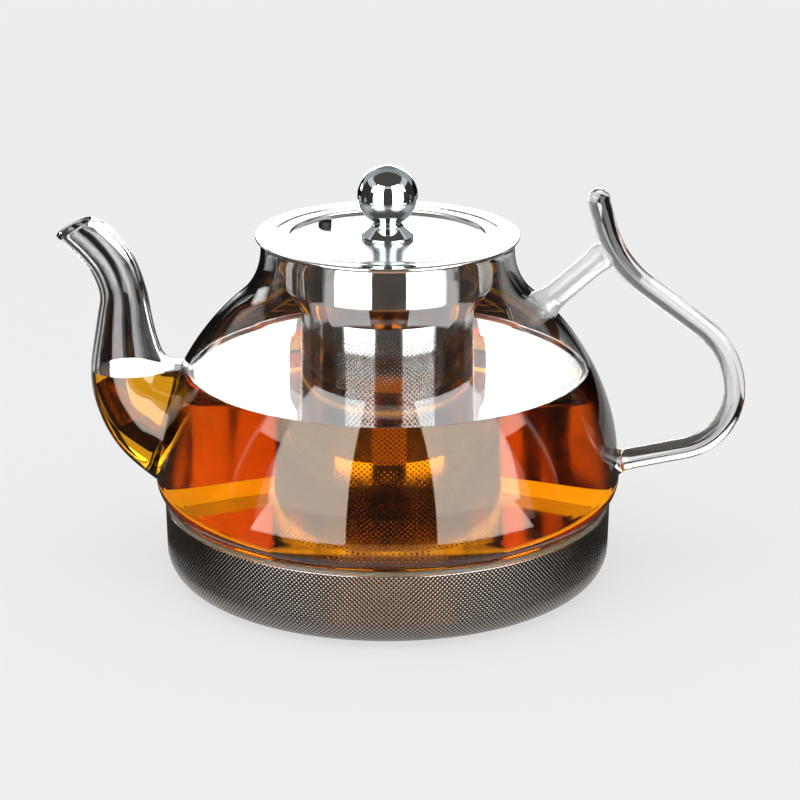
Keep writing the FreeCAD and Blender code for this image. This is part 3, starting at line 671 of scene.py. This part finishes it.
# strainer: pressed collar, perforated sleeve and floor
collar = {
    "outline": [(34.0, 105.6), (34.0, 105.2), (30.6, 105.2, 0.6), (30.6, 91.0, 1.6), (25.2, 83.4, 0.3), (24.8, 83.4),
                (24.8, 79.4), (25.55, 79.4), (25.55, 83.3), (26.0, 83.4, 0.2), (31.4, 91.0, 2.4), (31.4, 104.4, 0.3),
                (34.8, 104.4, 0.6), (34.8, 105.2), (39.5, 105.2, 0.35), (39.5, 106.0, 0.38), (34.0, 106.0, 0.35)],
    "turns": 192, "arcSteps": 6, "smooth": 30,
}

strainerCollar = turnedRing("strainerCollar", collar)
smooth(strainerCollar, collar["smooth"])
dress(strainerCollar, polishedSteel, "strainer", "strainer_collar")

sleeve = {
    "radius": 26.0, "low": 14.4, "high": 83.4, "around": 160, "rows": 24, "sheet": 0.4, "holesAround": 112,
    "holePitch": 1.3, "hole": 0.22, "holeEdge": 0.02, "plainTop": 2.6, "plainFoot": 3.8, "steel": (0.70, 0.69, 0.67),
    "grain": (1, 1, 0.1), "rough": (0.08, 0.14), "smooth": 30,
}


def makeSleeve():
    height = sleeve["high"] - sleeve["low"]
    deselectAll()
    bpy.ops.mesh.primitive_cylinder_add(vertices=sleeve["around"], radius=sleeve["radius"] * mm, depth=height * mm,
                                        location=(0, 0, (sleeve["low"] + sleeve["high"]) / 2 * mm),
                                        end_fill_type="NOTHING")
    piece = nameIt("strainerSleeve")
    bpy.ops.object.transform_apply(location=True, rotation=True, scale=True)
    bpy.ops.object.mode_set(mode="EDIT")
    bpy.ops.mesh.select_mode(type="EDGE")
    bpy.ops.mesh.select_all(action="DESELECT")
    bpy.ops.object.mode_set(mode="OBJECT")
    for edge in piece.data.edges:
        first, second = (piece.data.vertices[index].co for index in edge.vertices)
        edge.select = abs(first.z - second.z) > 0.01
    bpy.ops.object.mode_set(mode="EDIT")
    bpy.ops.mesh.subdivide(number_cuts=sleeve["rows"] - 1)
    bpy.ops.object.mode_set(mode="OBJECT")
    applyModifier(piece, "SOLIDIFY", thickness=sleeve["sheet"] * mm, offset=-1)
    wrapMap(piece, "holeRows", sleeve["holesAround"],
            lambda point: (point.z - sleeve["low"]) / sleeve["holePitch"])
    return piece


def perforatedSteel():
    # fine round holes between a plain top band and a plain foot
    values = {"Metallic": 1.0, "Base Color": (*sleeve["steel"], 1)}
    material, tree, shader = newMaterial("perforatedSteel", values)
    grain = objectNoise(tree, metalLook["grainScale"], metalLook["grainDetail"], sleeve["grain"])
    tree.links.new(spread(tree, grain, *sleeve["rough"]), shader.inputs["Roughness"])
    uv = addNode(tree, "ShaderNodeUVMap", uv_map="holeRows")
    split = addNode(tree, "ShaderNodeSeparateXYZ")
    tree.links.new(uv.outputs["UV"], split.inputs["Vector"])
    top = round((sleeve["high"] - sleeve["low"] - sleeve["plainTop"]) / sleeve["holePitch"])
    bottom = round(sleeve["plainFoot"] / sleeve["holePitch"])
    total = spread(tree, latticeDistance(tree, "holeRows"), 0.0, 1.0,
                   sleeve["hole"] - sleeve["holeEdge"], sleeve["hole"] + sleeve["holeEdge"])
    for limit, operation in ((top, "GREATER_THAN"), (bottom, "LESS_THAN")):
        band = addNode(tree, "ShaderNodeMath", {1: limit}, operation=operation)
        tree.links.new(split.outputs["Y"], band.inputs[0])
        total = joinPair(tree, "MAXIMUM", total, band.outputs["Value"])
    tree.links.new(total, shader.inputs["Alpha"])
    return material


strainerSleeve = makeSleeve()
smooth(strainerSleeve, sleeve["smooth"])
dress(strainerSleeve, perforatedSteel(), "strainer", "strainer_sleeve")

# strainer floor: holes from one ring of faces to another, counted in rings
sieve = {
    "rings": 20, "reach": 25.2, "around": 96, "level": 14.6, "rim": 3.6, "frame": 0.3, "sheet": 0.38,
    "holesFrom": 5.9, "holesTo": 18.9, "smooth": 30,
}


def makeFloor():
    pitch = sieve["reach"] / sieve["rings"]
    moves = [(sieve["reach"] * step / sieve["rings"], sieve["level"]) for step in range(sieve["rings"] + 1)]
    moves.append((sieve["reach"], sieve["level"] + sieve["rim"]))
    piece = turnAround(drawProfile("strainerFloor", moves), sieve["around"])
    bpy.ops.object.mode_set(mode="EDIT")
    bpy.ops.mesh.select_mode(type="FACE")
    bpy.ops.mesh.select_all(action="DESELECT")
    bpy.ops.object.mode_set(mode="OBJECT")
    for face in piece.data.polygons:
        ring = face.center.xy.length / mm / pitch
        face.select = sieve["holesFrom"] < ring < sieve["holesTo"] and abs(face.normal.z) > 0.5
    bpy.ops.object.mode_set(mode="EDIT")
    bpy.ops.mesh.inset(use_individual=True, thickness=sieve["frame"] * mm)
    bpy.ops.mesh.delete(type="FACE")
    bpy.ops.object.mode_set(mode="OBJECT")
    applyModifier(piece, "SOLIDIFY", thickness=sieve["sheet"] * mm, offset=0)
    return piece


strainerFloor = makeFloor()
smooth(strainerFloor, sieve["smooth"])
dress(strainerFloor, sleeveSteel, "strainer", "strainer_floor")
print("strainer", len(strainerSleeve.data.polygons), len(strainerFloor.data.polygons))


# lid with its hooded vent, and the ball knob
lid = {
    "outline": [(2.2, 104.7), (29.2, 104.7, 1.0), (29.7, 105.75, 0.4), (33.5, 105.75, 0.25), (33.5, 105.25),
                (30.0, 105.25, 0.3), (30.0, 97.0), (29.2, 97.0), (29.2, 103.9, 0.3), (2.2, 103.9)],
    "turns": 192, "arcSteps": 5, "ventX": -17.0, "ventY": 14.6, "ventTurns": 48, "ventDepth": 6.0, "hood": 2.5,
    "hoodRise": 2.0, "hoodRound": 1.6, "hoodInside": 1.1, "hoodSheet": 0.5, "hoodFoot": 0.4, "hoodSteps": 20,
    "hoodArcSteps": 6, "hoodStretch": 1.6, "top": 104.7, "smooth": 30,
}


def makeHood():
    inner = lid["hood"] - lid["hoodSheet"]
    peak = lid["top"] + lid["hoodRise"]
    ceiling = peak - lid["hoodSheet"]
    foot = lid["top"] - lid["hoodFoot"]
    corners = [(0, ceiling), (inner, ceiling, lid["hoodInside"]), (inner, foot), (lid["hood"], foot),
               (lid["hood"], peak, lid["hoodRound"]), (0, peak)]
    moves = roundedCorners(corners, lid["hoodArcSteps"])
    piece = drawProfile("lidHood", moves + moves[:1])
    bpy.ops.mesh.select_all(action="SELECT")
    bpy.ops.mesh.remove_doubles(threshold=0.000001)
    bpy.ops.mesh.select_all(action="SELECT")
    bpy.ops.mesh.edge_face_add()
    bpy.ops.transform.rotate(value=math.radians(90), orient_axis="Z", center_override=(0, 0, 0))
    bpy.ops.mesh.spin(steps=lid["hoodSteps"], angle=math.radians(180), center=(0, 0, 0), axis=(0, 0, 1))
    bpy.ops.mesh.select_all(action="SELECT")
    bpy.ops.transform.resize(value=(lid["hoodStretch"], 1, 1), center_override=(0, 0, 0))
    bpy.ops.transform.translate(value=(lid["ventX"] * mm, lid["ventY"] * mm, 0))
    closeMesh()
    return piece


def makeVentCutter():
    deselectAll()
    radius = lid["hood"] - lid["hoodSheet"]
    bpy.ops.mesh.primitive_cylinder_add(vertices=lid["ventTurns"], radius=radius * mm, depth=lid["ventDepth"] * mm)
    piece = nameIt("ventCutter")
    bpy.ops.object.mode_set(mode="EDIT")
    bpy.ops.mesh.select_all(action="SELECT")
    bpy.ops.mesh.bisect(plane_co=(0, 0, 0), plane_no=(1, 0, 0), use_fill=True, clear_outer=True)
    bpy.ops.mesh.select_all(action="SELECT")
    bpy.ops.transform.resize(value=(lid["hoodStretch"], 1, 1), center_override=(0, 0, 0))
    bpy.ops.transform.translate(value=(lid["ventX"] * mm, lid["ventY"] * mm, lid["top"] * mm))
    closeMesh()
    return piece


lidPlate = turnedRing("lidPlate", lid)
combine(lidPlate, makeVentCutter(), "DIFFERENCE")
combine(lidPlate, makeHood(), "UNION")
smooth(lidPlate, lid["smooth"])
dress(lidPlate, lidSteel, "lid", "lid_plate")
lidPlate.data.materials.append(paintedVentShade)
for face in lidPlate.data.polygons:                                     # painted shade: the hood and its hole are coloured near black
    aside = math.hypot((face.center.x / mm - lid["ventX"]) / lid["hoodStretch"], face.center.y / mm - lid["ventY"])
    if aside < lid["hood"] + 0.02 and (abs(face.normal.z) < 0.98 or face.center.z / mm > lid["top"] + 0.1):
        face.material_index = 1

knob = {
    "outline": [(0, 104.7), (7.9, 104.7, 0.25), (7.9, 105.6, 0.4), (4.3, 108.8, 2.4), (4.3, 109.894)],
    "ballLevel": 117.8, "ballTurn": 151.46, "ballSteps": 44, "turns": 96, "arcSteps": 6, "smooth": 35,
}


def makeKnob():
    moves = roundedCorners(knob["outline"], knob["arcSteps"])
    moves.append((0, knob["ballLevel"], knob["ballTurn"], knob["ballSteps"]))
    return turnAround(drawProfile("lidKnob", moves), knob["turns"])


lidKnob = makeKnob()
smooth(lidKnob, knob["smooth"])
dress(lidKnob, chromeFinish, "lid", "lid_knob")
print("lid and knob")

# solids that stay as they are
for nodeName, finish in (("heat_spreader", millAluminium), ("inner_plate", plateSteel),
                         ("knob_washer", satinSteel), ("knob_screw", satinSteel)):
    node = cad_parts[nodeName]
    if not node.material_slots:
        node.data.materials.append(finish)
    for slot in node.material_slots:
        slot.material = finish
print("carried-over solids finished")


# studio: pale floor, soft light, reflecting cards that only glass and metal see
studio = {
    "pale": (0.863, 0.863, 0.863), "floorShade": 0.25, "floorWidth": 6.0, "fadeFrom": 0.15, "fadeTo": 1.2,
    "worldShare": 0.67, "light": (-0.2, -0.3, 1.3), "lightAim": (0, 0, 0.05), "lightSize": 1.2, "lightPower": 9.5,
    "camera": (0.0, -0.8464, 0.3352), "pitch": 71.6, "lens": 132.1, "sensor": 36.0, "shift": 0.0155, "cardStep": 10,
}
scene = bpy.context.scene
palest = (*studio["pale"], 1)


def seenDirectly(tree):
    # 1 for camera, glossy and transmission rays
    path = addNode(tree, "ShaderNodeLightPath").outputs
    seen = joinPair(tree, "MAXIMUM", path["Is Camera Ray"], path["Is Glossy Ray"])
    return joinPair(tree, "MAXIMUM", seen, path["Is Transmission Ray"])


def paleFloor():
    # shadows show near the part and fade out, so that the far floor is as pale as the world
    values = {"Base Color": palest, "Roughness": 0.8, "Specular IOR Level": 0.0}
    material, tree, shader = newMaterial("paleFloor", values)
    glow = addNode(tree, "ShaderNodeEmission", {"Color": palest, "Strength": 1.0})
    place = addNode(tree, "ShaderNodeTexCoord")
    reach = addNode(tree, "ShaderNodeVectorMath", operation="LENGTH")
    mixed = addNode(tree, "ShaderNodeMixShader")
    tree.links.new(place.outputs["Object"], reach.inputs[0])
    fade = spread(tree, reach.outputs["Value"], 1 - studio["floorShade"], 1.0, studio["fadeFrom"], studio["fadeTo"])
    tree.links.new(joinPair(tree, "MULTIPLY", seenDirectly(tree), fade), mixed.inputs["Fac"])
    tree.links.new(shader.outputs["BSDF"], mixed.inputs[1])
    tree.links.new(glow.outputs["Emission"], mixed.inputs[2])
    tree.links.new(mixed.outputs["Shader"], tree.nodes["Material Output"].inputs["Surface"])
    return material


def addCard(name, corners, colour, strength):
    # card between a lower edge and an upper edge in metres, unseen by the camera and by plain surfaces
    last = len(corners) - 1
    sheet = bpy.data.meshes.new(name)
    sheet.from_pydata(corners, [], [(part, part + 1, last - part - 1, last - part) for part in range(last // 2)])
    card = bpy.data.objects.new(name, sheet)
    scene.collection.objects.link(card)
    material, tree, shader = newMaterial(name, {})
    tree.nodes.remove(shader)
    glow = addNode(tree, "ShaderNodeEmission", {"Color": (*colour, 1), "Strength": strength})
    tree.links.new(glow.outputs["Emission"], tree.nodes["Material Output"].inputs["Surface"])
    sheet.materials.append(material)
    card.visible_camera = False
    card.visible_diffuse = False
    card.visible_shadow = False
    card.visible_volume_scatter = False


def ringCard(name, start, stop, low, high, colour, strength):
    # curved card between two bearings (0 faces the camera, positive to its right)
    steps = math.ceil((stop - start) / studio["cardStep"])
    turns = [math.radians(start + (stop - start) * step / steps) for step in range(steps + 1)]
    lower = [(low[0] * math.sin(turn), -low[0] * math.cos(turn), low[1]) for turn in turns]
    upper = [(high[0] * math.sin(turn), -high[0] * math.cos(turn), high[1]) for turn in reversed(turns)]
    addCard(name, lower + upper, colour, strength)


white = (1.0, 1.0, 1.0)
umber = (1.0, 0.88, 0.78)                                               # dark cards are a little warm
peach = (1.0, 0.62, 0.42)
ring = 0.60                                                             # reach of the standing cards
behind = 0.61
outside = 0.62
roof = 0.75                                                             # their greatest height
lift = 0.001                                                            # cards that lie on the floor
foot = 0.075                                                            # just outside the pan
cards = [
    # name, two bearings, reach and level of the lower edge, of the upper edge, colour, strength
    ("leftSoftBox", -56, -16, (ring, 0.0), (ring, roof), white, 5.0),
    ("rightSoftBox", 19, 63, (ring, 0.0), (ring, roof), white, 5.0),
    ("leftWing", -70, -56, (ring, 0.28), (ring, 0.60), white, 3.0),
    ("rightWing", 63, 78, (ring, 0.28), (ring, 0.60), white, 3.0),
    ("leftSheen", -56, -16, (0.165, lift), (ring, lift), white, 4.2),
    ("rightSheen", 19, 60, (0.165, lift), (ring, lift), white, 4.2),
    ("leftNearSheen", -56, -16, (foot, lift), (0.165, lift), umber, 0.15),
    ("rightNearSheen", 19, 60, (foot, lift), (0.165, lift), umber, 0.15),
    ("frontFlag", -16, 19, (0.17, lift), (outside, 0.60), umber, 0.08),
    ("frontGlow", -16, 19, (foot, lift), (0.17, lift), peach, 0.8),
    ("leftNearFlag", -135, -56, (foot, lift), (0.20, lift), umber, 0.06),
    ("rightNearFlag", 60, 135, (foot, lift), (0.20, lift), umber, 0.06),
    ("leftFlag", -120, -70, (0.20, lift), (behind, 0.45), umber, 0.05),
    ("rightFlag", 78, 120, (0.20, lift), (behind, 0.45), umber, 0.05),
    ("leftWingFlag", -70, -56, (0.20, lift), (behind, 0.28), umber, 0.05),
    ("rightWingFlag", 63, 78, (0.20, lift), (behind, 0.28), umber, 0.05),
    ("leftHighLight", -120, -70, (ring, 0.45), (ring, roof), white, 0.8),
    ("rightHighLight", 78, 120, (ring, 0.45), (ring, roof), white, 0.8),
    ("leftSideCard", -137, -120, (ring, 0.11), (ring, 0.22), white, 2.5),
    ("leftBackFlag", -162, -120, (behind, 0.0), (behind, 0.24), umber, 0.008),
    ("rightBackFlag", 120, 162, (behind, 0.0), (behind, 0.24), umber, 0.008),
    ("leftBackHigh", -162, -120, (behind, 0.24), (behind, roof), white, 0.5),
    ("rightBackHigh", 120, 162, (behind, 0.24), (behind, roof), white, 0.5),
    ("leftRearCard", 180, 195, (ring, 0.0), (ring, 0.08), white, 2.0),
    ("backCard", 175, 185, (ring, 0.08), (ring, 0.33), white, 2.2),
    ("leftBackCard", 185, 198, (ring, 0.08), (ring, 0.33), white, 9.0),
    ("rightBackCard", 162, 175, (ring, 0.08), (ring, 0.33), white, 9.0),
    ("backHighFlag", 162, 198, (ring, 0.33), (ring, roof), umber, 0.30),
    ("backFloorFlag", 162, 220, (0.16, lift), (outside, lift), umber, 0.008),
    ("leftGreyCard", -140, -120, (0.16, lift), (outside, lift), white, 0.6),
    ("rightGreyCard", 120, 162, (0.16, lift), (0.34, lift), white, 0.5),
    ("rightFarCard", 120, 162, (0.34, lift), (outside, lift), white, 0.3),
]
for card in cards:
    ringCard(*card)
for name, near, far, colour, strength in (("topFlag", -outside, 0.25, umber, 0.10),
                                          ("topBackCard", 0.25, outside, white, 0.4)):
    addCard(name, [(-outside, near, roof), (outside, near, roof), (outside, far, roof), (-outside, far, roof)],
            colour, strength)

deselectAll()
bpy.ops.mesh.primitive_plane_add(size=studio["floorWidth"])
floor = nameIt("floor")
floor.data.materials.append(paleFloor())

scene.world = scene.world or bpy.data.worlds.new("studioWorld")
scene.world.use_nodes = True
sky = scene.world.node_tree
background = sky.nodes["Background"].inputs
sky.links.new(spread(sky, seenDirectly(sky), studio["worldShare"], 1.0, 0.0, 1.0), background["Strength"])
background["Color"].default_value = palest

light = bpy.data.lights.new("overheadLight", "AREA")
light.shape = "RECTANGLE"
light.size = studio["lightSize"]
light.size_y = studio["lightSize"]
light.energy = studio["lightPower"]
lamp = bpy.data.objects.new("overheadLight", light)
scene.collection.objects.link(lamp)
lamp.location = studio["light"]
lamp.rotation_euler = (Vector(studio["lightAim"]) - Vector(studio["light"])).to_track_quat("-Z", "Y").to_euler()
lamp.visible_glossy = False
lamp.visible_transmission = False

camera = bpy.data.objects.new("camera", bpy.data.cameras.new("camera"))
scene.collection.objects.link(camera)
camera.location = studio["camera"]
camera.rotation_euler = (math.radians(studio["pitch"]), 0, 0)
camera.data.lens = studio["lens"]
camera.data.sensor_width = studio["sensor"]
camera.data.shift_x = studio["shift"]
scene.camera = camera
scene.view_settings.view_transform = "Standard"
print("studio ready")
